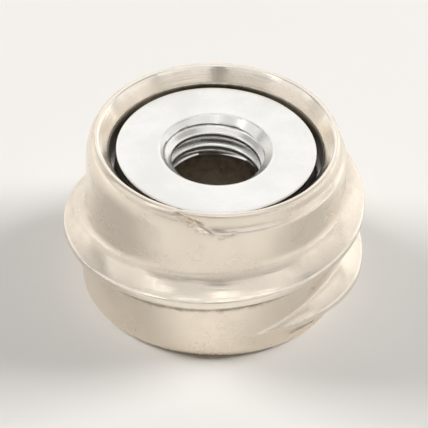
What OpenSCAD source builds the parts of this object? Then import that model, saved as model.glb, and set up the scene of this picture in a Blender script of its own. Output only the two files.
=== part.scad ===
// Table leg bushing: a die-cast screw-in body with a coarse outer thread, a
// hexagon drive socket at its lower end, and a round steel nut pressed into
// the collar at its upper end. It stands on its drive face.

/* [Body] */
// Height from the drive face to the top of the rim
body_h = 17.1; // [16:0.1:20]
// Diameter of the plain core, which fills the bored hole
core_d = 24.8; // [24.2:0.1:26]
// Radius of the rounded edge round the drive face
face_edge_r = 0.9; // [0.4:0.1:1.2]
// Radial width of the rounded shoulder outside the rim
shoulder_w = 0.9; // [0.4:0.05:1.1]
// Height of the rounded shoulder outside the rim
shoulder_h = 2.2; // [1:0.1:2.8]
// Radial width of the narrow land along the top of the rim
rim_land_w = 0.2; // [0.1:0.05:0.4]
// Height of the funnel inside the rim
funnel_h = 1.5; // [0.8:0.1:2]

/* [Outer thread] */
// Radial height of the coarse thread above the core
thread_depth = 2; // [1.2:0.1:2.4]
// Axial advance of the thread in one turn
thread_pitch = 6.1; // [6:0.1:6.6]
// Number of turns, run-outs included
thread_turns = 1.4; // [1.1:0.05:1.5]
// Height of the crest's middle where the thread starts, above the drive face
thread_start_z = 2.3; // [2:0.1:2.6]
// Direction in which the thread starts, from +X
thread_start_angle = -80; // [-180:5:180]
// Width of the flat along the crest
crest_w = 0.7; // [0.4:0.1:0.8]
// Axial width of the flank on the drive side
drive_flank_w = 1.8; // [0.8:0.1:1.9]
// Axial width of the hollow flank on the rim side
rim_flank_w = 2.6; // [2:0.1:2.7]
// Length of the run-out at the drive end, in degrees
start_runout = 70; // [20:5:90]
// Length of the run-out at the rim end, in degrees
end_runout = 35; // [15:5:60]

/* [Drive socket] */
// Width of the hexagon socket across its flats
hex_af = 14; // [13:0.1:14.6]
// Depth of the hexagon socket
hex_depth = 3; // [2.5:0.1:5]
// Chamfer round the mouth of the hexagon socket
hex_chamfer = 0.3; // [0.1:0.05:0.5]
// Diameter of the round passage for the leg's stud
passage_d = 12.2; // [11.6:0.1:12.6]
// Chamfer between the socket's floor and the passage
passage_chamfer = 0.3; // [0.1:0.05:0.4]

/* [Nut] */
// Diameter of the nut's gripping band
nut_d = 20.4; // [19.8:0.1:20.6]
// Thickness of the nut
nut_h = 5; // [4:0.1:6]
// Depth of the nut's face below the top of the rim
nut_recess = 1.4; // [1:0.1:2]
// Radial step from the gripping band to the nut's face
nut_step_w = 0.6; // [0.3:0.05:0.8]
// Height of the part of the nut above that step
nut_step_h = 2.5; // [1.5:0.1:3]
// Diameter of the nut's tapped bore, at the crests of its thread
nut_bore_d = 8.5; // [8:0.1:9]
// Diameter of the countersink at each end of the bore
nut_sink_d = 10.8; // [10.2:0.1:11.2]
// Broken edge round the nut's face
nut_edge = 0.15; // [0.05:0.05:0.3]
// Radial clearance of the gripping band in its pocket
nut_fit = 0.02; // [0.01:0.01:0.05]

/* [Hidden] */
$fn = 96;

core_r = core_d / 2;
pocket_r = nut_d / 2 + nut_fit;
nut_face_z = body_h - nut_recess;
seat_z = nut_face_z - nut_h;
band_z = nut_face_z - nut_step_h;

// The thread's outline is swept in steps of this angle, which falls on all four axes.
sweep_step = 5;
sweep_n = round(thread_turns * 360 / sweep_step);
// Number of facets down the hollow flank.
flank_n = 6;
// How deep the thread's foot is rooted in the core.
root_depth = 0.2;
// How far the hollow flank's last point stays above the core.
foot_height = 0.06;
// The share of its height that the thread keeps where it vanishes under the core.
end_height = 0.04;
// How far a cutting shape runs past the face that it opens.
overrun = 1;

// Points along an arc round centre c, with the half axes r, from angle a0 to angle a1.
function arc(c, r, a0, a1, n = 8) =
  [for (i = [0:n]) let (a = a0 + (a1 - a0) * i / n) c + [r[0] * cos(a), r[1] * sin(a)]];

// Smooth rise from 0 to 1.
function ease(x) = let (t = min(1, max(0, x))) t * t * (3 - 2 * t);

// Height of the thread at step i, as a share of its full height.
function ridge_share(i) =
  end_height + (1 - end_height) *
  ease(min(i * sweep_step / start_runout, (sweep_n - i) * sweep_step / end_runout));

// The thread's outline: [height above the core, axial offset from the crest's middle].
// The drive-side flank is straight and the rim-side flank is hollow.
function ridge_outline() =
  let (
    half = crest_w / 2,
    soft = min(0.18, crest_w / 4)
  )
  [
    [-root_depth, -half - drive_flank_w * (1 + root_depth / thread_depth)],
    [thread_depth - soft, -half - drive_flank_w * soft / thread_depth],
    [thread_depth, -half + soft],
    [thread_depth, half - soft],
    for (i = [0:flank_n])
      let (t = i / flank_n)
      [foot_height + (thread_depth - soft - foot_height) * pow(1 - t, 2), half + rim_flank_w * t],
    [-root_depth, half + rim_flank_w + root_depth]
  ];

// One cross-section of the thread, in space, at step i.
function ridge_section(i) =
  let (
    share = ridge_share(i),
    a = thread_start_angle + i * sweep_step,
    z = thread_start_z + thread_pitch * i * sweep_step / 360
  )
  [
    for (p = ridge_outline())
      let (r = core_r - root_depth + (p[0] + root_depth) * share)
      [r * cos(a), r * sin(a), z + p[1] * (0.35 + 0.65 * share)]
  ];

// The coarse right-hand thread, as one closed sweep along its helix.
module coarse_thread() {
  m = len(ridge_outline());
  points = [for (i = [0:sweep_n]) each ridge_section(i)];
  sides = [
    for (i = [0:sweep_n - 1], j = [0:m - 1])
      let (a = i * m + j, b = i * m + (j + 1) % m)
      each [[a, b, b + m], [a, b + m, a + m]]
  ];
  first_cap = [for (j = [1:m - 2]) [0, j + 1, j]];
  last = sweep_n * m;
  last_cap = [for (j = [1:m - 2]) [last, last + j, last + j + 1]];
  polyhedron(points = points, faces = concat(sides, first_cap, last_cap), convexity = 6);
}

// Half section of the body's outside: rounded at the drive face and at the rim's shoulder.
module body_outline() {
  polygon(concat(
    [[0, 0]],
    arc([core_r - face_edge_r, face_edge_r], [face_edge_r, face_edge_r], -90, 0),
    arc([core_r - shoulder_w, body_h - shoulder_h], [shoulder_w, shoulder_h], 0, 90),
    [[0, body_h]]
  ));
}

// Half section of the pocket that holds the nut, with its funnelled mouth.
module pocket_outline() {
  mouth_r = core_r - shoulder_w - rim_land_w;
  polygon([
    [0, seat_z],
    [pocket_r, seat_z],
    [pocket_r, body_h - funnel_h],
    [mouth_r, body_h],
    [mouth_r, body_h + overrun],
    [0, body_h + overrun]
  ]);
}

// Hexagon of the given width across flats, with two corners on the X axis.
module hexagon_prism(af, af_top, h) {
  cylinder(r1 = af / 2 / cos(30), r2 = af_top / 2 / cos(30), h = h, $fn = 6);
}

// The hexagon socket with its chamfered mouth.
module drive_socket() {
  wide = hex_af + 2 * hex_chamfer;
  translate([0, 0, -overrun]) hexagon_prism(hex_af, hex_af, hex_depth + overrun);
  translate([0, 0, -overrun])
    hexagon_prism(wide + 2 * overrun, hex_af, hex_chamfer + overrun);
}

// The round passage from the socket's floor up to the nut's seat.
module stud_passage() {
  r = passage_d / 2;
  translate([0, 0, hex_depth - overrun]) cylinder(r = r, h = seat_z - hex_depth + 2 * overrun);
  translate([0, 0, hex_depth - overrun])
    cylinder(
      r1 = r + passage_chamfer + overrun, r2 = r, h = passage_chamfer + overrun
    );
}

module threaded_body() {
  color("gainsboro") difference() {
    union() {
      rotate_extrude() body_outline();
      coarse_thread();
    }
    rotate_extrude() pocket_outline();
    stud_passage();
    drive_socket();
  }
}

// Half section of the nut, from its tapped bore to its gripping band.
module nut_outline() {
  bore_r = nut_bore_d / 2;
  sink = (nut_sink_d - nut_bore_d) / 2;
  face_r = nut_d / 2 - nut_step_w;
  polygon([
    [bore_r, seat_z + sink],
    [bore_r + sink, seat_z],
    [nut_d / 2 - nut_edge, seat_z],
    [nut_d / 2, seat_z + nut_edge],
    [nut_d / 2, band_z],
    [face_r, band_z],
    [face_r, nut_face_z - nut_edge],
    [face_r - nut_edge, nut_face_z],
    [bore_r + sink, nut_face_z],
    [bore_r, nut_face_z - sink]
  ]);
}

module threaded_insert() {
  color("white") rotate_extrude() nut_outline();
}

threaded_body();
threaded_insert();
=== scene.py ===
"""Looks of a table leg bushing: a threaded zinc body, and the bright steel nut in its rim."""

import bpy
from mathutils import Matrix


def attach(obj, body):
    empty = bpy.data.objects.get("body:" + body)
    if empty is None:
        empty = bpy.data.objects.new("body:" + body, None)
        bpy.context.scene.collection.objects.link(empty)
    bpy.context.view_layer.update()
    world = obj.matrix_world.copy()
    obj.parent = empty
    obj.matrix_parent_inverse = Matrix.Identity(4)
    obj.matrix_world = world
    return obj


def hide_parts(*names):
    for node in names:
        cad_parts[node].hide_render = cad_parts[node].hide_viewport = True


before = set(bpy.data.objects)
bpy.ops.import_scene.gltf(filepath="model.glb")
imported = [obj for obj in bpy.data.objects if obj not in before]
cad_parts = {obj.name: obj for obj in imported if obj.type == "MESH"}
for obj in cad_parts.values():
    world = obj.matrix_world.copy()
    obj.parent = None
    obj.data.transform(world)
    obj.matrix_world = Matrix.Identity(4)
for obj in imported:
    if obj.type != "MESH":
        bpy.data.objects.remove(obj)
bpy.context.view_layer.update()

import logging
import math
from dataclasses import dataclass, field, replace
from enum import Enum
from typing import Callable

import bmesh
import bpy
from mathutils import Quaternion, Vector, noise

log = logging.getLogger("bushing")

MM = 0.001
# Point attribute for edge wear and painted highlight: how far a point is coloured bright.
WEAR_AND_HIGHLIGHT = "wear_and_highlight"
# Point attribute for painted shade: how far a point is coloured dark in creases, gaps and recesses.
PAINTED_SHADE = "painted_shade"
MERGE = 0.0005
SHARP_ANGLE = 55.0

Colour = tuple[float, float, float, float]


# ---------------------------------------------------------------- shapes


@dataclass(frozen=True)
class Spot:
    """One place on a half section, in mm, with how far it is painted bright (edge wear and painted
    highlight) and painted dark (painted shade).
    """

    r: float
    z: float
    wear_and_highlight: float = 0.0
    painted_shade: float = 0.0


def ease(x: float) -> float:
    """Returns x clamped to 0..1 and smoothed at both ends."""
    t = min(1.0, max(0.0, x))
    return t * t * (3.0 - 2.0 * t)


def bell(distance: float, width: float) -> float:
    """Returns 1 at no distance, fading away over width."""
    return math.exp(-((distance / width) ** 2))


def arc(centre: tuple[float, float], half: tuple[float, float], start: float, end: float,
        steps: int, wear_and_highlight: float = 0.0) -> list[Spot]:
    """Walks along an elliptical arc of a half section.

    Args:
        centre: Radius and height of the arc's centre, in mm.
        half: The arc's half axes along the radius and the height, in mm.
        start: First angle, in degrees from the radius.
        end: Last angle, in degrees from the radius.
        steps: Number of steps between them.
        wear_and_highlight: How far the middle of the arc is painted bright, as edge wear and painted
            highlight.

    Returns:
        The spots from start to end.
    """
    spots = []
    for i in range(steps + 1):
        a = math.radians(start + (end - start) * i / steps)
        spots.append(Spot(
            centre[0] + half[0] * math.cos(a),
            centre[1] + half[1] * math.sin(a),
            wear_and_highlight * math.sin(math.pi * i / steps),
        ))
    return spots


def between(a: Spot, b: Spot, steps: int) -> list[Spot]:
    """Walks straight from a to b, leaving both out.

    Args:
        a: The spot before the first.
        b: The spot after the last.
        steps: Number of steps between a and b.

    Returns:
        The spots between them.
    """
    return [mix(a, b, i / steps) for i in range(1, steps)]


def mix(a: Spot, b: Spot, t: float) -> Spot:
    """Mixes two spots.

    Args:
        a: The spot at t = 0.
        b: The spot at t = 1.
        t: The share of the way from a to b.

    Returns:
        The spot at that share of the way.
    """
    return Spot(
        a.r + (b.r - a.r) * t,
        a.z + (b.z - a.z) * t,
        a.wear_and_highlight + (b.wear_and_highlight - a.wear_and_highlight) * t,
        a.painted_shade + (b.painted_shade - a.painted_shade) * t,
    )


def blend_corner(a: Spot, corner: Spot, b: Spot, steps: int) -> list[Spot]:
    """Rounds a corner off with a curve that is tangent to both its sides.

    Args:
        a: Where the rounding starts, on the first side.
        corner: The sharp corner.
        b: Where the rounding ends, on the second side.
        steps: Number of steps from a to b.

    Returns:
        The spots from a to b, with the edge wear and painted highlight, and the painted shade, of the
        corner at its middle.
    """
    spots = []
    for i in range(steps + 1):
        t = i / steps
        spots.append(mix(mix(a, corner, t), mix(corner, b, t), t))
    return spots


@dataclass
class Skin:
    """A closed skin wound round the Z axis, as rings with one point in each column.

    Attributes:
        columns: Number of columns round the axis.
        points: The skin's points so far, in mm.
        wear_and_highlight: How far each point is painted bright, as edge wear and painted highlight.
        painted_shade: How far each point is painted dark, as painted shade.
        faces: The skin's faces, as point numbers.
        last: Point numbers of the last ring, with its first point again at the end.
    """

    columns: int
    points: list[tuple[float, float, float]] = field(default_factory=list)
    wear_and_highlight: list[float] = field(default_factory=list)
    painted_shade: list[float] = field(default_factory=list)
    faces: list[tuple[int, ...]] = field(default_factory=list)
    last: list[int] = field(default_factory=list)

    def angle(self, column: int) -> float:
        """Returns the direction of a column, in degrees from +X."""
        return 360.0 * column / self.columns

    def add(self, column: int, spot: Spot) -> int:
        """Adds one point.

        Args:
            column: The column that the point is in.
            spot: The point's place, its edge wear and painted highlight, and its painted shade.

        Returns:
            The point's number.
        """
        a = math.radians(self.angle(column))
        self.points.append((spot.r * math.cos(a), spot.r * math.sin(a), spot.z))
        self.wear_and_highlight.append(spot.wear_and_highlight)
        self.painted_shade.append(spot.painted_shade)
        return len(self.points) - 1

    def join(self, row: list[int]) -> None:
        """Lays faces from the last ring to a new one, which becomes the last.

        Args:
            row: The new ring's point numbers, with its first point again at the end.
        """
        if self.last:
            for j in range(self.columns):
                self.faces.append((self.last[j], self.last[j + 1], row[j + 1], row[j]))
        self.last = row

    def ring(self, spot_at: Callable[[float], Spot]) -> None:
        """Adds a ring and joins it on.

        Args:
            spot_at: Gives the ring's spot in a direction in degrees.
        """
        row = [self.add(j, spot_at(self.angle(j))) for j in range(self.columns)]
        self.join(row + row[:1])

    def profile(self, spots: list[Spot]) -> None:
        """Adds one round ring for each spot.

        Args:
            spots: The spots, in the order in which the skin goes.
        """
        for spot in spots:
            self.ring(lambda _, spot=spot: spot)

    def wind(self, rows_at: Callable[[float], list[Spot]]) -> None:
        """Adds a stretch of wall whose rows climb round the axis as a thread does.

        Args:
            rows_at: Gives the spots of the column in a direction from 0 to 360 degrees, in the
                order in which the skin goes. The rows at 360 degrees continue those at 0.
        """
        grid = [[self.add(j, spot) for spot in rows_at(self.angle(j))]
                for j in range(self.columns + 1)]
        for row in zip(*grid):
            self.join(list(row))

    def build(self, name: str, push: Callable[[Vector], float]) -> bpy.types.Object:
        """Makes the object.

        Args:
            name: The object's name.
            push: Gives how far the point at a place, in mm, is pushed into the metal, in mm.

        Returns:
            The finished object, smooth shaded, in metres.
        """
        mesh = bpy.data.meshes.new(name)
        mesh.from_pydata([[c * MM for c in p] for p in self.points], [], self.faces)
        # Stores the painted brightness and the painted shade as point attributes.
        for label, values in ((WEAR_AND_HIGHLIGHT, self.wear_and_highlight), (PAINTED_SHADE, self.painted_shade)):
            mesh.attributes.new(label, "FLOAT", "POINT").data.foreach_set("value", values)
        skin = bmesh.new()
        skin.from_mesh(mesh)
        bmesh.ops.remove_doubles(skin, verts=skin.verts, dist=MERGE * MM)
        skin.normal_update()
        moves = [vert.normal * (-push(vert.co / MM) * MM) for vert in skin.verts]
        for vert, move in zip(skin.verts, moves):
            vert.co += move
        open_edges = sum(1 for edge in skin.edges if not edge.is_manifold)
        skin.to_mesh(mesh)
        skin.free()
        mesh.polygons.foreach_set("use_smooth", [True] * len(mesh.polygons))
        mesh.set_sharp_from_angle(angle=math.radians(SHARP_ANGLE))
        piece = bpy.data.objects.new(name, mesh)
        bpy.context.scene.collection.objects.link(piece)
        log.info("%s: %d faces, %d open edges", name, len(mesh.polygons), open_edges)
        return piece


@dataclass(frozen=True)
class CoarseThread:
    """The body's outer thread, in mm and degrees: steep below and hollow above.

    Attributes:
        depth: Height of the ridge above the core.
        pitch: Rise of the ridge in one turn.
        turns: Number of turns.
        start_z: Height of the crest's middle where the ridge starts.
        start_angle: Direction in which it starts.
        crest_w: Width of the crest.
        drive_flank_w: Width of the steep flank.
        rim_flank_w: Width of the hollow flank.
        start_runout: How far round the ridge grows to its full height.
        end_runout: How far round it sinks back into the core.
        root_depth: How deep inside the core the ridge is rooted.
        end_height: Share of its height that it has at its very ends.
        end_width: Share of its width that it has at its very ends.
        edge: Rounding of the crest's edges.
        foot: Rounding of the steep flank's foot.
        flank_steps: Rows on the hollow flank.
        core_steps: Rows on each stretch of core between two turns.
        shade: How far below the steep flank the painted shade ends.
    """

    depth: float = 2.0
    pitch: float = 6.1
    turns: float = 1.4
    start_z: float = 2.3
    start_angle: float = -80.0
    crest_w: float = 0.7
    drive_flank_w: float = 1.8
    rim_flank_w: float = 2.6
    start_runout: float = 70.0
    end_runout: float = 35.0
    root_depth: float = 0.2
    end_height: float = 0.04
    end_width: float = 0.35
    edge: float = 0.18
    foot: float = 0.3
    flank_steps: int = 9
    core_steps: int = 3
    shade: float = 1.3

    def section(self) -> list[Spot]:
        """Draws the ridge's section, from its drive-side foot to its rim-side foot.

        Returns:
            Spots whose r is the height above the core and whose z is the offset from the
            crest's middle.
        """
        half = self.crest_w / 2
        slope = Vector((self.depth, self.drive_flank_w)).normalized()
        foot = -half - self.drive_flank_w
        # The steep flank's foot is painted dark: painted shade under the ridge's overhang.
        spots = blend_corner(
            Spot(0.0, foot - self.foot, 0.0, 0.6),
            Spot(0.0, foot, 0.0, 0.9),
            Spot(slope.x * self.foot, foot + slope.y * self.foot, 0.0, 0.7),
            4,
        )
        # The crest's edges are painted bright: edge wear and painted highlight.
        low_edge = Spot(self.depth - slope.x * self.edge, -half - slope.y * self.edge, 0.5)
        spots += between(spots[-1], low_edge, 3)
        spots += blend_corner(
            low_edge, Spot(self.depth, -half, 1.0), Spot(self.depth, -half + self.edge, 0.6), 4)
        spots += blend_corner(
            Spot(self.depth, half - self.edge, 0.6),
            Spot(self.depth, half, 1.0),
            self.hollow(0.06, half),
            4,
        )
        for i in range(1, self.flank_steps + 1):
            spots.append(self.hollow(0.06 + 0.94 * i / self.flank_steps, half))
        return spots

    def hollow(self, t: float, half: float) -> Spot:
        """Draws a spot of the hollow flank.

        Args:
            t: The share of the way from the crest to the foot.
            half: Half the crest's width.

        Returns:
            The spot, measured from the core and the crest's middle.
        """
        height = (self.depth - self.edge * 0.5) * (1.0 - t) ** 2
        # Painted bright near the crest (edge wear and painted highlight), with painted shade growing
        # towards the foot.
        return Spot(height, half + self.rim_flank_w * t, 0.35 * (1.0 - t), 0.2 * t)

    def share(self, travel: float) -> float:
        """Finds how much of its height the ridge has at a place along it.

        Args:
            travel: How far round the ridge has come, in degrees.

        Returns:
            The share of its full height.
        """
        left = self.turns * 360.0 - travel
        rise = ease(min(travel / self.start_runout, left / self.end_runout))
        return self.end_height + (1.0 - self.end_height) * rise

    def rows(self, angle: float, core_r: float, low: float, high: float) -> list[Spot]:
        """Draws one column of the wall that carries the thread.

        Args:
            angle: The column's direction, from 0 to 360 degrees.
            core_r: Radius of the core.
            low: Height at which the wall starts.
            high: Height at which the wall ends.

        Returns:
            The column's spots from the lowest to the highest.
        """
        section = self.section()
        column = []
        for turn in range(-2, 4):
            travel = angle - self.start_angle + 360.0 * turn
            middle = self.start_z + self.pitch * travel / 360.0
            share = self.share(travel)
            width = self.end_width + (1.0 - self.end_width) * share
            shown = []
            for spot in section:
                height = (spot.r + self.root_depth) * share - self.root_depth
                # The painted highlight with the edge wear, and the painted shade, fade where the ridge
                # runs out.
                seen = ease(height / 0.3 + 0.4) * ease(2.0 * share)
                shown.append(Spot(
                    core_r + max(0.0, height), middle + spot.z * width,
                    spot.wear_and_highlight * seen, spot.painted_shade * ease(2.0 * share)))
            # The core between turns is painted darker towards the steep flank's foot: painted shade
            # under the ridge.
            if column:
                gap = shown[0].z - column[-1].z
                unshaded = Spot(core_r, shown[0].z - min(self.shade, 0.7 * gap), 0.0, 0.1)
                column += between(column[-1], unshaded, self.core_steps)
                column += [unshaded, *between(unshaded, shown[0], self.core_steps)]
            column += shown
        return [Spot(s.r, min(high, max(low, s.z)), s.wear_and_highlight, s.painted_shade) for s in column]


@dataclass
class ThreadedBody:
    """The zinc body, in mm: a core with a coarse thread, a drive socket, a passage and a pocket.

    Attributes:
        height: Height of the body.
        core_r: Radius of the core.
        face_edge_r: Rounding of the drive face's edge.
        shoulder_w: Width of the rounded shoulder.
        shoulder_h: Height of the rounded shoulder.
        rim_land_w: Width of the rim's flat land.
        funnel_h: Height of the funnelled mouth.
        hex_af: Width of the hexagon socket across its flats.
        hex_depth: Depth of the hexagon socket.
        hex_chamfer: Rounding of the socket's edge.
        hex_corner_r: Rounding of the socket's corners.
        passage_r: Radius of the stud's passage.
        passage_chamfer: Chamfer of the passage's lower end.
        pocket_r: Radius of the nut's pocket.
        seat_z: Height of the nut's seat.
        columns: Number of columns round the axis.
        thread: The outer thread.
        collar_r: Radius of the rim where the shoulder is cut back.
        cut_z: Height at which the cut starts.
        cut_h: Height of the cut's chamfer.
        cut_rise: How far round the cut takes to reach its depth, in degrees.
        cut_end: Direction in which the cut ends, in degrees.
        cut_fade: How far round it fades out, in degrees.
        flaw: Directions and heights of the wavy line along which the cut starts.
        flaw_depth: Depth of the line.
        flaw_w: Half width of the line.
        flaw_shade: How dark the line is painted, as painted shade in its crease.
        dents: Direction, height, size and depth of each dent on the line.
        uneven: How far the casting is uneven.
    """

    height: float = 17.1
    core_r: float = 12.4
    face_edge_r: float = 0.9
    shoulder_w: float = 0.9
    shoulder_h: float = 2.2
    rim_land_w: float = 0.2
    funnel_h: float = 1.5
    hex_af: float = 14.0
    hex_depth: float = 3.0
    hex_chamfer: float = 0.3
    hex_corner_r: float = 0.5
    passage_r: float = 6.1
    passage_chamfer: float = 0.3
    pocket_r: float = 10.22
    seat_z: float = 10.7
    columns: int = 480
    thread: CoarseThread = field(default_factory=CoarseThread)
    collar_r: float = 11.86
    cut_z: float = 15.3
    cut_h: float = 0.55
    cut_rise: float = 5.0
    cut_end: float = 150.0
    cut_fade: float = 60.0
    flaw: tuple[tuple[float, float], ...] = (
        (-107.0, 16.9), (-103.0, 16.65), (-99.4, 16.3), (-96.0, 15.85), (-93.0, 15.6),
        (-90.0, 15.3), (-86.6, 15.0), (-84.0, 15.12), (-81.0, 15.25))
    flaw_depth: float = 0.10
    flaw_w: float = 0.21
    flaw_shade: float = 0.72
    dents: tuple[tuple[float, float, float, float], ...] = (
        (-96.0, 15.9, 0.55, 0.12), (-86.6, 14.95, 0.4, 0.12))
    uneven: float = 0.016

    def hexagon(self, angle: float, af: float) -> float:
        """Finds the radius of a hexagon with rounded corners.

        Args:
            angle: The direction, in degrees.
            af: The hexagon's width across its flats, in mm.

        Returns:
            The radius in that direction, in mm.
        """
        off = math.radians(abs((angle + 30.0) % 60.0 - 30.0))
        reach = (af / 2 - self.hex_corner_r) / math.cos(math.radians(30.0))
        turn = math.atan2(
            self.hex_corner_r * math.sin(math.radians(30.0)),
            reach + self.hex_corner_r * math.cos(math.radians(30.0)),
        )
        if off < turn:
            side = reach * math.sin(off)
            return reach * math.cos(off) + math.sqrt(self.hex_corner_r ** 2 - side ** 2)
        return af / 2 / math.cos(math.radians(30.0) - off)

    def outside(self, skin: Skin) -> None:
        """Winds the drive face's edge, the threaded wall and the shoulder.

        Args:
            skin: The body's skin.
        """
        edge = self.face_edge_r
        skin.profile(arc((self.core_r - edge, edge), (edge, edge), -90, 0, 8, 0.5)[:-1])
        low, high = edge, self.height - self.shoulder_h
        skin.wind(lambda angle: self.thread.rows(angle, self.core_r, low, high))
        for whole, cut in list(zip(self.round_shoulder(), self.cut_shoulder()))[1:]:
            skin.ring(lambda angle, whole=whole, cut=cut: self.shoulder(angle, whole, cut))

    def round_shoulder(self) -> list[Spot]:
        """Draws the shoulder where it is as cast: a rounded edge.

        Returns:
            The spots from the neck up to the rim's land.
        """
        centre = (self.core_r - self.shoulder_w, self.height - self.shoulder_h)
        # Its middle is painted a little bright: edge wear and painted highlight.
        return arc(centre, (self.shoulder_w, self.shoulder_h), 0, 90, 32, 0.35)

    def cut_shoulder(self) -> list[Spot]:
        """Draws the shoulder where it is cut back, in as many spots: a chamfer and a collar.

        Returns:
            The spots from the neck up to the rim's land.
        """
        start = Spot(self.core_r, self.height - self.shoulder_h)
        # The chamfer's foot and the collar's top corner are painted bright: edge wear and painted
        # highlight.
        low = Spot(self.core_r, self.cut_z, 0.8)
        high = Spot(self.collar_r + 0.1, self.cut_z + self.cut_h)
        corner = Spot(self.collar_r, self.height, 0.8)
        end = Spot(self.core_r - self.shoulder_w, self.height)
        spots = [start, mix(start, low, 0.3)]
        spots += blend_corner(mix(start, low, 0.6), low, mix(low, high, 0.3), 6)
        spots += between(spots[-1], mix(low, high, 0.75), 4)
        spots += blend_corner(mix(low, high, 0.75), high, mix(high, corner, 0.2), 5)
        spots += between(spots[-1], mix(high, corner, 0.55), 5)
        spots += blend_corner(mix(high, corner, 0.55), corner, end, 10)
        return spots

    def shoulder(self, angle: float, whole: Spot, cut: Spot) -> Spot:
        """Returns the shoulder's spot in a direction.

        Args:
            angle: The direction, in degrees.
            whole: The spot where the shoulder is as cast.
            cut: The spot where it is cut back.

        Returns:
            One or the other, or a spot between them near the flaw, with painted shade in the flaw's
            crease.
        """
        at = (angle + 180.0) % 360.0 - 180.0
        edges = [edge for edge, below in zip(self.flaw, self.flaw[1:]) if whole.z > below[1]]
        start = (edges or self.flaw[-2:])[0][0]
        share = ease((at - start) / self.cut_rise + 0.5) * ease((self.cut_end - at) / self.cut_fade)
        spot = mix(whole, cut, share)
        # Painted shade along the flaw's crease, which also takes the painted brightness away there.
        shade_dark = self.flaw_shade * bell(self.flaw_distance(at, spot.z), self.flaw_w)
        return replace(spot, painted_shade=shade_dark, wear_and_highlight=spot.wear_and_highlight * (1.0 - shade_dark))

    def mouth(self, skin: Skin) -> None:
        """Winds the rim's land, its funnel, the pocket's wall and the nut's seat.

        Args:
            skin: The body's skin.
        """
        mouth_r = self.core_r - self.shoulder_w - self.rim_land_w
        # The rim's land is painted bright: edge wear and painted highlight.
        top = Spot(mouth_r, self.height, 0.9)
        # From the funnel's foot down, the pocket's wall, the seat and the passage are painted dark:
        # painted shade in the gap round the nut.
        foot = Spot(self.pocket_r, self.height - self.funnel_h, 0.0, 0.6)
        skin.profile(blend_corner(mix(top, Spot(self.core_r, self.height), 0.12),
                                  top, mix(top, foot, 0.1), 4))
        # The funnel takes a quarter of that painted shade.
        skin.profile([replace(spot, painted_shade=0.25 * spot.painted_shade) for spot in
                      between(mix(top, foot, 0.1), mix(top, foot, 0.9), 5)])
        seat = Spot(self.pocket_r, self.seat_z, 0.0, 1.0)
        wall = replace(mix(foot, seat, 0.05), painted_shade=1.0)
        skin.profile(blend_corner(mix(top, foot, 0.9), foot, wall, 4))
        skin.profile(between(wall, seat, 6) + [seat])
        inner = Spot(self.passage_r, self.seat_z, 0.0, 1.0)
        skin.profile(between(seat, inner, 4) + [inner])

    def drive_side(self, skin: Skin) -> None:
        """Winds the passage, the hexagon socket and the drive face, down to the first ring.

        Args:
            skin: The body's skin.
        """
        # The passage is painted dark, darkest at the seat: painted shade in the bore.
        inner = Spot(self.passage_r, self.seat_z, 0.0, 0.8)
        neck = Spot(self.passage_r, self.hex_depth + self.passage_chamfer, 0.1, 0.2)
        lip = Spot(self.passage_r + self.passage_chamfer, self.hex_depth, 0.2, 0.3)
        skin.profile(between(inner, neck, 8) + [neck, lip])
        floor_steps, wall_steps, edge_steps, face_steps = 6, 6, 5, 8
        # The socket is painted darker towards its walls and, on the walls, towards its floor: painted
        # shade in the recess.
        for i in range(1, floor_steps + 1):
            t = i / floor_steps
            skin.ring(lambda angle, t=t: Spot(
                lip.r + (self.hexagon(angle, self.hex_af) - lip.r) * t,
                self.hex_depth, 0.0, 0.3 + 0.6 * t * t))
        for i in range(1, wall_steps):
            z = self.hex_depth + (self.hex_chamfer - self.hex_depth) * i / wall_steps
            skin.ring(lambda angle, z=z: Spot(
                self.hexagon(angle, self.hex_af), z, 0.1, 0.7 * z / self.hex_depth))
        # The socket's rounded edge is painted bright: edge wear and painted highlight.
        for i in range(edge_steps + 1):
            a = math.radians(90.0 * i / edge_steps)
            skin.ring(lambda angle, a=a: Spot(
                self.hexagon(angle, self.hex_af) + self.hex_chamfer * (1.0 - math.cos(a)),
                self.hex_chamfer * (1.0 - math.sin(a)), 0.9 * math.sin(2.0 * a)))
        rim_r = self.core_r - self.face_edge_r
        for i in range(1, face_steps + 1):
            t = i / face_steps
            skin.ring(lambda angle, t=t: Spot(
                (self.hexagon(angle, self.hex_af) + self.hex_chamfer) * (1.0 - t) + rim_r * t, 0.0))

    def push(self, place: Vector) -> float:
        """Finds how far the casting dips at a place: slow unevenness, and the flawed shoulder.

        Args:
            place: The place, in mm.

        Returns:
            How far it dips there, in mm.
        """
        slow = 0.5 + 0.5 * noise.noise(place * 0.45)
        quick = 0.5 + 0.5 * noise.noise(place * 1.7 + Vector((7.0, 3.0, 1.0)))
        dip = self.uneven * (0.7 * slow + 0.3 * quick)
        on_shoulder = place.z > self.height - 3.0
        if on_shoulder and math.hypot(place.x, place.y) > self.pocket_r + 0.8:
            dip += self.shoulder_flaws(place)
        return dip

    def shoulder_flaws(self, place: Vector) -> float:
        """Finds how far the flaw's line and its dents dip at a place.

        Args:
            place: The place, in mm.

        Returns:
            How far they dip there, in mm.
        """
        angle = math.degrees(math.atan2(place.y, place.x))
        across = math.radians(self.core_r)
        dip = self.flaw_depth * bell(self.flaw_distance(angle, place.z), self.flaw_w)
        for at, z, size, depth in self.dents:
            dip += depth * bell(math.hypot((angle - at) * across, place.z - z), size)
        return dip

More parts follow.
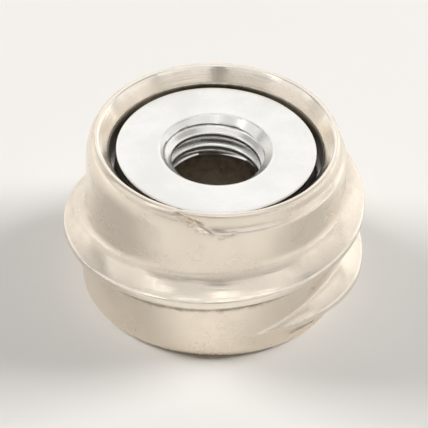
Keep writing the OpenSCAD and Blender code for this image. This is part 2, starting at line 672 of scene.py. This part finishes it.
    def flaw_distance(self, angle: float, z: float) -> float:
        """Finds how far a place is from the flaw's line.

        Args:
            angle: The place's direction, in degrees.
            z: The place's height, in mm.

        Returns:
            The distance along the surface, in mm.
        """
        across = math.radians(self.core_r)
        best = math.inf
        for (a0, z0), (a1, z1) in zip(self.flaw, self.flaw[1:]):
            p = Vector(((angle - a0) * across, z - z0))
            run = Vector(((a1 - a0) * across, z1 - z0))
            t = min(1.0, max(0.0, p.dot(run) / run.length_squared))
            best = min(best, (p - run * t).length)
        return best

    def build(self) -> bpy.types.Object:
        """Makes the body.

        Returns:
            The body's object, which stands for its node.
        """
        skin = Skin(self.columns)
        self.outside(skin)
        self.mouth(skin)
        self.drive_side(skin)
        piece = skin.build("body_skin", self.push)
        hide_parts("threaded_body")
        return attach(piece, "root")


@dataclass(frozen=True)
class FineThread:
    """The nut's inner thread, in mm: a metric thread of 60 degrees.

    Attributes:
        pitch: Rise of the thread in one turn.
        crest_r: Radius at the crests.
        root_r: Radius at the roots.
        crest_w: Width of a crest.
        edge: Share of the flank that the crest's edge takes.
    """

    pitch: float = 1.5
    crest_r: float = 4.25
    root_r: float = 5.0
    crest_w: float = 0.42
    edge: float = 0.06

    def section(self) -> list[Spot]:
        """Draws one pitch of the thread's section, from the middle of a crest to the next.

        Returns:
            Spots whose r is the radius and whose z is the offset from the first crest's middle.
        """
        half = self.crest_w / 2
        flank = (self.root_r - self.crest_r) * math.tan(math.radians(30.0))
        # Crests are painted bright (edge wear and painted highlight), roots dark (painted shade).
        crest = Spot(self.crest_r, half, 0.5)
        root = Spot(self.root_r, half + flank, 0.0, 0.6)
        up = [Spot(self.crest_r, 0.0, 0.4), Spot(self.crest_r, half * 0.6, 0.4)]
        up += [mix(crest, root, self.edge)]
        up += between(mix(crest, root, self.edge), mix(crest, root, 0.9), 4)
        up += [mix(crest, root, 0.9), Spot(self.root_r, self.pitch / 2 - 0.04, 0.0, 0.8)]
        down = [Spot(s.r, self.pitch - s.z, s.wear_and_highlight, s.painted_shade) for s in reversed(up)]
        return up + down[:-1]

    def rows(self, angle: float, low: float, high: float, sink: float) -> list[Spot]:
        """Draws one column of the tapped bore, countersinks and all.

        Args:
            angle: The column's direction, from 0 to 360 degrees.
            low: Height of the bore's lower end.
            high: Height of the bore's upper end.
            sink: Depth and radial width of the countersinks.

        Returns:
            The column's spots from the highest to the lowest.
        """
        section = self.section()
        turns = math.ceil((high - low) / self.pitch) + 2
        column = []
        for turn in range(-2, turns):
            start = low + self.pitch * (turn + angle / 360.0)
            column += [Spot(s.r, start + s.z, s.wear_and_highlight, s.painted_shade) for s in section]
        wall = []
        for spot in column:
            z = min(high, max(low, spot.z))
            cone = self.crest_r + sink - min(high - z, z - low)
            # The countersinks are painted a little bright: edge wear and painted highlight.
            wall.append(Spot(cone, z, 0.25) if cone > spot.r else Spot(spot.r, z, spot.wear_and_highlight, spot.painted_shade))
        return wall[::-1]


@dataclass
class ThreadedInsert:
    """The steel nut, in mm: a gripping band, a stepped-in face and a tapped bore.

    Attributes:
        seat_z: Height of the lower face.
        face_z: Height of the upper face.
        band_r: Radius of the gripping band.
        step_w: How far the upper part is stepped in.
        step_h: Height of the stepped-in part.
        edge: Rounding of the outer edges.
        sink: Depth and radial width of the countersinks.
        columns: Number of columns round the axis.
        thread: The inner thread.
    """

    seat_z: float = 10.7
    face_z: float = 15.7
    band_r: float = 10.2
    step_w: float = 0.6
    step_h: float = 2.5
    edge: float = 0.15
    sink: float = 1.15
    columns: int = 240
    thread: FineThread = field(default_factory=FineThread)

    def build(self) -> bpy.types.Object:
        """Makes the nut.

        Returns:
            The nut's object, which stands for its node.
        """
        skin = Skin(self.columns)
        band_z = self.face_z - self.step_h
        face_r = self.band_r - self.step_w
        mouth_r = self.thread.crest_r + self.sink
        skin.profile([Spot(self.band_r - self.edge, self.seat_z)])
        skin.profile(arc((self.band_r - self.edge, self.seat_z + self.edge),
                         (self.edge, self.edge), -90, 0, 4)[1:])
        skin.profile(between(Spot(self.band_r, self.seat_z), Spot(self.band_r, band_z), 4))
        # The band's edge is painted a little bright; the step and the stepped-in side are painted dark,
        # as painted shade in the gap round the nut.
        skin.profile([Spot(self.band_r, band_z, 0.3), Spot(face_r, band_z, 0.0, 1.0)])
        side = Spot(face_r, self.face_z - self.edge, 0.2, 0.7)
        skin.profile(between(Spot(face_r, band_z, 0.0, 1.0), side, 6))
        # The face's outer edge is painted bright: edge wear and painted highlight.
        skin.profile(arc((face_r - self.edge, side.z), (self.edge, self.edge), 0, 90, 5, 1.0))
        skin.profile(between(Spot(face_r - self.edge, self.face_z), Spot(mouth_r, self.face_z), 14))
        skin.wind(lambda angle: self.thread.rows(angle, self.seat_z, self.face_z, self.sink))
        skin.profile(between(Spot(mouth_r, self.seat_z), Spot(self.band_r - self.edge, self.seat_z), 6))
        skin.profile([Spot(self.band_r - self.edge, self.seat_z)])
        piece = skin.build("nut_skin", lambda place: 0.0)
        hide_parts("threaded_insert")
        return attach(piece, "root")


# ---------------------------------------------------------------- finishes


@dataclass(frozen=True)
class Socket:
    """A named input or output of a node group, with its kind and starting value."""

    name: str
    kind: str = "NodeSocketFloat"
    value: float = 0.0


class Graph:
    """A node tree under construction."""

    def __init__(self, tree: bpy.types.NodeTree) -> None:
        """Takes hold of a tree."""
        self.tree = tree

    def node(self, kind: str, inputs: dict[str | int, object] | None = None,
             **settings: object) -> bpy.types.Node:
        """Adds a node.

        Args:
            kind: The node's type name, without its ShaderNode prefix.
            inputs: Values or output sockets, by the input's name or number.
            settings: The node's own settings.

        Returns:
            The new node.
        """
        node = self.tree.nodes.new(f"ShaderNode{kind}")
        for name, value in settings.items():
            setattr(node, name, value)
        for key, value in (inputs or {}).items():
            self.feed(node, key, value)
        return node

    def feed(self, node: bpy.types.Node, key: str | int, value: object) -> None:
        """Sets an input of a node, or links an output socket to it.

        Args:
            node: The node.
            key: The input's name or number.
            value: A value, or an output socket.
        """
        if isinstance(value, bpy.types.NodeSocket):
            self.tree.links.new(value, node.inputs[key])
        else:
            node.inputs[key].default_value = value

    def math(self, operation: str, *values: object, clamp: bool = False) -> bpy.types.NodeSocket:
        """Adds a Math node.

        Args:
            operation: What the node works out.
            values: Its values or output sockets, in order.
            clamp: Whether the result is kept within 0..1.

        Returns:
            The result's socket.
        """
        node = self.node("Math", dict(enumerate(values)), operation=operation, use_clamp=clamp)
        return node.outputs[0]

    def spread(self, value: object, low: float, high: float, out_low: float = 0.0,
               out_high: float = 1.0) -> bpy.types.NodeSocket:
        """Maps one range smoothly to another.

        Args:
            value: A value, or an output socket.
            low: Start of the range of the value.
            high: End of the range of the value.
            out_low: What the start is mapped to.
            out_high: What the end is mapped to.

        Returns:
            The result's socket.
        """
        node = self.node("MapRange", {
            "Value": value, "From Min": low, "From Max": high,
            "To Min": out_low, "To Max": out_high,
        }, interpolation_type="SMOOTHSTEP")
        return node.outputs[0]

    def tint(self, mask: object, base: object, over: object) -> bpy.types.NodeSocket:
        """Lays one colour over another where a mask is 1.

        Args:
            mask: How far the second colour covers the first.
            base: The first colour.
            over: The second colour.

        Returns:
            The mixed colour's socket.
        """
        node = self.tree.nodes.new("ShaderNodeMix")
        node.data_type = "RGBA"
        self.feed(node, 0, mask)
        self.feed(node, 6, base)
        self.feed(node, 7, over)
        return node.outputs[2]

    def group(self, group: bpy.types.NodeTree, inputs: dict[str, object]) -> bpy.types.Node:
        """Places a node group.

        Args:
            group: The node group.
            inputs: Values or output sockets, by the input's name.

        Returns:
            The group's node.
        """
        node = self.tree.nodes.new("ShaderNodeGroup")
        node.node_tree = group
        for key, value in inputs.items():
            self.feed(node, key, value)
        return node


def start_group(name: str, inputs: list[Socket],
                outputs: list[Socket]) -> tuple[Graph, bpy.types.Node, bpy.types.Node]:
    """Makes an empty node group.

    Args:
        name: The group's name.
        inputs: Its input sockets.
        outputs: Its output sockets.

    Returns:
        The group's graph, its input node and its output node.
    """
    tree = bpy.data.node_groups.new(name, "ShaderNodeTree")
    for sockets, side in ((inputs, "INPUT"), (outputs, "OUTPUT")):
        for socket in sockets:
            made = tree.interface.new_socket(socket.name, in_out=side, socket_type=socket.kind)
            if socket.kind == "NodeSocketFloat":
                made.default_value = socket.value
    return Graph(tree), tree.nodes.new("NodeGroupInput"), tree.nodes.new("NodeGroupOutput")


def turned_lines_group() -> bpy.types.NodeTree:
    """Makes fine lines that run round the axis, as a lathe leaves them.

    Returns:
        A group with the inputs Place, Lines and Streak, and the output Height.
    """
    graph, given, result = start_group(
        "turned_lines",
        [Socket("Place", "NodeSocketVector"), Socket("Lines", value=4.0), Socket("Streak", value=1.0)],
        [Socket("Height")],
    )
    place = graph.node("SeparateXYZ", {0: given.outputs["Place"]})
    x, y, z = place.outputs
    squares = graph.math("ADD", graph.math("MULTIPLY", x, x), graph.math("MULTIPLY", y, y))
    radius = graph.math("MAXIMUM", graph.math("SQRT", squares), 0.001)
    lines, streak = given.outputs["Lines"], given.outputs["Streak"]
    east = graph.math("MULTIPLY", graph.math("DIVIDE", x, radius), streak)
    north = graph.math("MULTIPLY", graph.math("DIVIDE", y, radius), streak)
    track = graph.node("CombineXYZ", {
        0: graph.math("MULTIPLY", radius, lines), 1: graph.math("MULTIPLY", z, lines), 2: east})
    grain = graph.node("TexNoise", {
        "Vector": track.outputs[0], "W": north, "Scale": 1.0, "Detail": 3.0, "Roughness": 0.6,
    }, noise_dimensions="4D")
    graph.feed(result, "Height", grain.outputs[0])
    return graph.tree


def cast_grain_group() -> bpy.types.NodeTree:
    """Makes the cloudy tone and the fine grain of bare metal.

    Returns:
        A group with the inputs Place, Cloud and Grain, which are sizes in mm, and the outputs
        Tone and Height.
    """
    graph, given, result = start_group(
        "cast_grain",
        [Socket("Place", "NodeSocketVector"), Socket("Cloud", value=3.0), Socket("Grain", value=0.2)],
        [Socket("Tone"), Socket("Height")],
    )
    for size, detail, output in (("Cloud", 5.0, "Tone"), ("Grain", 2.0, "Height")):
        cells = graph.node("TexNoise", {
            "Vector": given.outputs["Place"],
            "Scale": graph.math("DIVIDE", 1.0, given.outputs[size]),
            "Detail": detail,
            "Roughness": 0.6,
        })
        graph.feed(result, output, cells.outputs[0])
    return graph.tree


def wear_and_painted_light_group() -> bpy.types.NodeTree:
    """Breaks up where edges are painted bright, as edge wear and painted highlight, and where painted
    shade is laid.

    Returns:
        A group with the inputs Place, the painted brightness (edge wear and painted highlight), the
        painted shade, and Patch, which is a size in mm; and the outputs Bright and the broken-up painted
        shade.
    """
    graph, given, result = start_group(
        "wear_and_painted_light",
        [Socket("Place", "NodeSocketVector"), Socket("WearAndHighlight"), Socket("PaintedShade"),
         Socket("Patch", value=1.0)],
        [Socket("Bright"), Socket("ShadeMask")],
    )
    patches = graph.node("TexNoise", {
        "Vector": given.outputs["Place"],
        "Scale": graph.math("DIVIDE", 1.0, given.outputs["Patch"]),
        "Detail": 2.0,
        "Roughness": 0.5,
    }).outputs[0]
    for name, output, low in (("WearAndHighlight", "Bright", 0.6), ("PaintedShade", "ShadeMask", 0.7)):
        level = graph.math("MULTIPLY_ADD", patches, 0.4, given.outputs[name])
        graph.feed(result, output, graph.spread(level, low, low + 0.5))
    return graph.tree


def scratches_group() -> bpy.types.NodeTree:
    """Makes sparse hairline scratches that run in two directions.

    Returns:
        A group with the inputs Place and Width, and the output Mask.
    """
    graph, given, result = start_group(
        "scratches",
        [Socket("Place", "NodeSocketVector"), Socket("Width", value=0.01)],
        [Socket("Mask")],
    )
    marks = []
    for turn, long_way, short_way in ((0.6, 0.25, 2.2), (2.2, 0.18, 1.6)):
        turned = graph.node("VectorRotate", {"Vector": given.outputs["Place"], "Angle": turn},
                            rotation_type="Z_AXIS")
        drawn = graph.node("VectorMath", {0: turned.outputs[0], 1: (long_way, short_way, 0.8)},
                           operation="MULTIPLY")
        cells = graph.node("TexNoise", {"Vector": drawn.outputs[0], "Scale": 1.0, "Detail": 1.0})
        off = graph.math("ABSOLUTE", graph.math("SUBTRACT", cells.outputs[0], 0.5))
        hair = graph.math("SUBTRACT", 1.0, graph.math("DIVIDE", off, given.outputs["Width"]), clamp=True)
        marks.append(hair)
    patchy = graph.node("TexNoise", {"Vector": given.outputs["Place"], "Scale": 0.33})
    both = graph.math("MAXIMUM", *marks)
    graph.feed(result, "Mask", graph.math("MULTIPLY", both, graph.spread(patchy.outputs[0], 0.5, 0.62)))
    return graph.tree


@dataclass(frozen=True)
class MetalFinish:
    """A bare metal finish.

    Attributes:
        name: The material's name.
        light: Colour of the clean metal.
        dull: Colour of its cloudy patches.
        bright: Colour where edges are painted bright, as edge wear and painted highlight.
        shade_dark: Colour of the painted shade in creases, gaps and recesses.
        metallic: How far it shines as metal.
        smooth: Roughness where it is smoothest.
        rough: Roughness where it is dullest.
        lines: Turned lines in each mm.
        streak: How far the lines change round the axis.
        line_depth: Depth of the lines, in mm.
        cloud: Size of the cloudy patches, in mm.
        grain: Size of the grain, in mm.
        grain_depth: Depth of the grain, in mm.
        patch: Size of the breaks in the painted brightness and the painted shade, in mm.
        scratch: Width of the scratches.
        scratch_depth: Depth of the scratches, in mm.
    """

    name: str
    light: Colour
    dull: Colour
    bright: Colour
    shade_dark: Colour
    metallic: float
    smooth: float
    rough: float
    lines: float
    streak: float
    line_depth: float
    cloud: float
    grain: float
    grain_depth: float
    patch: float
    scratch: float
    scratch_depth: float

    def build(self, groups: dict[str, bpy.types.NodeTree]) -> bpy.types.Material:
        """Makes the material.

        Args:
            groups: The shared node groups, by name.

        Returns:
            The material.
        """
        material = bpy.data.materials.new(self.name)
        material.use_nodes = True
        material.node_tree.nodes.clear()
        graph = Graph(material.node_tree)
        spot = graph.node("TexCoord").outputs["Object"]
        place = graph.node("VectorMath", {0: spot, "Scale": 1.0 / MM}, operation="SCALE").outputs[0]
        # Point attributes for the painted brightness (edge wear and painted highlight) and the painted
        # shade.
        wear_and_highlight = graph.node("Attribute", attribute_name=WEAR_AND_HIGHLIGHT).outputs["Fac"]
        painted_shade = graph.node("Attribute", attribute_name=PAINTED_SHADE).outputs["Fac"]
        lines = graph.group(groups["turned_lines"], {
            "Place": place, "Lines": self.lines, "Streak": self.streak}).outputs["Height"]
        cast = graph.group(groups["cast_grain"], {
            "Place": place, "Cloud": self.cloud, "Grain": self.grain})
        wear_and_painted_light = graph.group(groups["wear_and_painted_light"], {
            "Place": place, "WearAndHighlight": wear_and_highlight, "PaintedShade": painted_shade, "Patch": self.patch})
        scratches = graph.group(groups["scratches"], {
            "Place": place, "Width": self.scratch}).outputs["Mask"]
        tone = graph.spread(cast.outputs["Tone"], 0.36, 0.66)
        colour = graph.tint(tone, self.light, self.dull)
        # Lays the painted brightness (edge wear and painted highlight), then the painted shade; below,
        # the painted shade is also made rougher and less metallic.
        colour = graph.tint(wear_and_painted_light.outputs["Bright"], colour, self.bright)
        colour = graph.tint(wear_and_painted_light.outputs["ShadeMask"], colour, self.shade_dark)
        sheen = graph.spread(graph.math("ADD", tone, lines), 0.3, 1.5, self.smooth, self.rough)
        sheen = graph.math("SUBTRACT", sheen, graph.math("MULTIPLY", wear_and_painted_light.outputs["Bright"], 0.08))
        sheen = graph.math("ADD", sheen, graph.math("MULTIPLY", wear_and_painted_light.outputs["ShadeMask"], 0.25))
        metal = graph.math("MULTIPLY_ADD", wear_and_painted_light.outputs["ShadeMask"], -0.8, self.metallic)
        normal = None
        for height, depth in ((lines, self.line_depth), (cast.outputs["Height"], self.grain_depth),
                              (scratches, -self.scratch_depth)):
            relief = graph.node("Bump", {"Height": height, "Distance": abs(depth) * MM},
                                invert=depth < 0)
            if normal:
                graph.feed(relief, "Normal", normal)
            normal = relief.outputs[0]
        shader = graph.node("BsdfPrincipled", {
            "Base Color": colour, "Metallic": metal, "Roughness": sheen, "Normal": normal})
        graph.node("OutputMaterial", {"Surface": shader.outputs[0]})
        return material


ZINC = MetalFinish(
    name="cast_zinc",
    light=(0.90, 0.815, 0.70, 1.0),
    dull=(0.86, 0.77, 0.66, 1.0),
    # bright is edge wear with painted highlight; dirt is painted shade.
    bright=(0.95, 0.89, 0.80, 1.0),
    shade_dark=(0.16, 0.13, 0.09, 1.0),
    metallic=1.0,
    smooth=0.17,
    rough=0.28,
    lines=3.0,
    streak=1.2,
    line_depth=0.020,
    cloud=3.5,
    grain=0.22,
    grain_depth=0.004,
    patch=0.8,
    scratch=0.004,
    scratch_depth=0.001,
)
STEEL = MetalFinish(
    name="bright_steel",
    light=(0.92, 0.92, 0.90, 1.0),
    dull=(0.86, 0.86, 0.84, 1.0),
    # bright is edge wear with painted highlight; dirt is painted shade.
    bright=(0.95, 0.95, 0.94, 1.0),
    shade_dark=(0.07, 0.06, 0.045, 1.0),
    metallic=1.0,
    smooth=0.18,
    rough=0.34,
    lines=7.0,
    streak=0.4,
    line_depth=0.005,
    cloud=8.0,
    grain=0.15,
    grain_depth=0.002,
    patch=0.6,
    scratch=0.004,
    scratch_depth=0.0015,
)


# ---------------------------------------------------------------- studio


class LampUse(Enum):
    """What a lamp is for."""

    CARD = "a bright card that only shiny surfaces show"
    KEY = "a light that falls on everything and isn't mirrored"


@dataclass(frozen=True)
class Softbox:
    """A square lamp that faces the object.

    Attributes:
        name: The lamp's name.
        use: What the lamp is for.
        azimuth: Direction in which it hangs, in degrees from +X.
        elevation: How high it hangs, in degrees.
        distance: How far away it hangs, in metres.
        width: Width of the lamp, in metres.
        radiance: How bright it looks.
    """

    name: str
    use: LampUse
    azimuth: float
    elevation: float
    distance: float
    width: float
    radiance: float

    def build(self, target: Vector) -> None:
        """Hangs the lamp.

        Args:
            target: The place that it faces, in metres.
        """
        data = bpy.data.lights.new(self.name, "AREA")
        data.shape = "SQUARE"
        data.size = self.width
        data.energy = self.radiance * math.pi * self.width ** 2
        lamp = bpy.data.objects.new(self.name, data)
        a, e = math.radians(self.azimuth), math.radians(self.elevation)
        away = Vector((math.cos(a) * math.cos(e), math.sin(a) * math.cos(e), math.sin(e)))
        lamp.location = target + away * self.distance
        lamp.rotation_euler = away.to_track_quat("Z", "Y").to_euler()
        lamp.visible_glossy = self.use is LampUse.CARD
        lamp.visible_diffuse = self.use is LampUse.KEY
        bpy.context.scene.collection.objects.link(lamp)


@dataclass
class Studio:
    """A plain pale floor, soft lamps and the camera.

    Attributes:
        target: What the camera looks at, in metres.
        elevation: How far the camera looks down, in degrees.
        distance: How far away the camera is, in metres.
        view_width: Width of what the camera sees at the target, in metres.
        roll: How far the camera is tipped about its own line of sight, in degrees.
        floor_colour: Colour of the floor.
        fill: Light from the surroundings.
        horizon: How pale the surroundings look at the floor's edge.
        zenith: How pale the surroundings look overhead.
        bright_side: Direction of the paler side of the surroundings.
        dim: How much less pale their other side is.
        lamps: The softboxes.
    """

    target: Vector = field(default_factory=lambda: Vector((0.0, 0.0, 0.0078)))
    elevation: float = 39.0
    distance: float = 0.9
    view_width: float = 0.041
    roll: float = 2.1
    floor_colour: Colour = (0.86, 0.84, 0.81, 1.0)
    fill: float = 0.09
    horizon: float = 0.80
    zenith: float = 0.42
    bright_side: Vector = field(default_factory=lambda: Vector((0.6, 0.8, 0.0)))
    dim: float = 0.40
    lamps: tuple[Softbox, ...] = (
        Softbox("top_card", LampUse.CARD, 90.0, 88.0, 0.5, 0.40, 0.50),
        Softbox("back_card", LampUse.CARD, 90.0, 39.0, 0.5, 0.46, 0.54),
        Softbox("back_right_card", LampUse.CARD, 45.0, 19.0, 0.5, 0.40, 0.45),
        Softbox("back_left_card", LampUse.CARD, 135.0, 24.0, 0.5, 0.40, 0.25),
        Softbox("front_right_card", LampUse.CARD, -55.0, 51.0, 0.5, 0.40, 0.48),
        Softbox("front_left_card", LampUse.CARD, -125.0, 51.0, 0.5, 0.40, 0.45),
        Softbox("front_card", LampUse.CARD, -90.0, 60.0, 0.5, 0.18, 0.14),
        Softbox("right_card", LampUse.CARD, -3.0, 32.0, 0.5, 0.34, 0.30),
        Softbox("left_card", LampUse.CARD, -166.0, 37.0, 0.5, 0.36, 0.50),
        Softbox("right_key", LampUse.KEY, 14.0, 27.0, 0.5, 0.24, 15.8),
        Softbox("left_key", LampUse.KEY, 165.0, 27.0, 0.5, 0.24, 13.4),
    )

    def floor(self) -> None:
        """Lays the floor."""
        bpy.ops.mesh.primitive_plane_add(size=3.0, location=(0.0, 0.0, 0.0))
        floor = bpy.context.object
        floor.name = "floor"
        material = bpy.data.materials.new("pale_floor")
        material.use_nodes = True
        shader = material.node_tree.nodes["Principled BSDF"]
        shader.inputs["Base Color"].default_value = self.floor_colour
        shader.inputs["Roughness"].default_value = 0.8
        floor.data.materials.append(material)

    def surroundings(self) -> None:
        """Sets up the surroundings: dim as a light, and pale where the camera or metal sees them."""
        world = bpy.data.worlds.new("studio")
        world.use_nodes = True
        graph = Graph(world.node_tree)
        sky = world.node_tree.nodes["Background"]
        sky.inputs["Color"].default_value = (1.0, 0.975, 0.945, 1.0)
        way = graph.node("TexCoord").outputs["Generated"]
        height = graph.node("SeparateXYZ", {0: way}).outputs["Z"]
        shown = graph.spread(height, 0.0, 0.9, self.horizon, self.zenith)
        facing = graph.node("VectorMath", {0: way, 1: self.bright_side}, operation="DOT_PRODUCT")
        shade = graph.spread(facing.outputs["Value"], 0.6, -1.0, 0.0, self.dim)
        shade = graph.math("MULTIPLY", shade, graph.spread(height, 0.15, 0.45))
        shown = graph.math("MULTIPLY", shown, graph.math("SUBTRACT", 1.0, shade))
        ray = graph.node("LightPath").outputs
        seen = graph.math("MAXIMUM", ray["Is Camera Ray"], ray["Is Glossy Ray"])
        seen = graph.math("MAXIMUM", seen, ray["Is Transmission Ray"])
        extra = graph.math("MULTIPLY", seen, graph.math("SUBTRACT", shown, self.fill))
        graph.feed(sky, "Strength", graph.math("ADD", extra, self.fill))
        bpy.context.scene.world = world

    def camera(self) -> None:
        """Sets the camera up."""
        data = bpy.data.cameras.new("camera")
        data.sensor_width = 36.0
        data.lens = data.sensor_width * self.distance / self.view_width
        data.clip_start = 0.05
        data.clip_end = 10.0
        camera = bpy.data.objects.new("camera", data)
        e = math.radians(self.elevation)
        away = Vector((0.0, -math.cos(e), math.sin(e)))
        camera.location = self.target + away * self.distance
        tip = Quaternion((0.0, 0.0, 1.0), math.radians(self.roll))
        camera.rotation_euler = (away.to_track_quat("Z", "Y") @ tip).to_euler()
        bpy.context.scene.collection.objects.link(camera)
        bpy.context.scene.camera = camera

    def build(self) -> None:
        """Sets up the whole studio."""
        self.floor()
        self.surroundings()
        for lamp in self.lamps:
            lamp.build(self.target)
        self.camera()
        bpy.context.scene.view_settings.view_transform = "Standard"


def main() -> None:
    """Builds the bushing and the studio round it."""
    logging.basicConfig(level=logging.INFO, format="%(message)s")
    groups = {
        "turned_lines": turned_lines_group(),
        "cast_grain": cast_grain_group(),
        "wear_and_painted_light": wear_and_painted_light_group(),
        "scratches": scratches_group(),
    }
    body = ThreadedBody().build()
    body.data.materials.append(ZINC.build(groups))
    nut = ThreadedInsert().build()
    nut.data.materials.append(STEEL.build(groups))
    Studio().build()


if __name__ == "__main__":
    main()
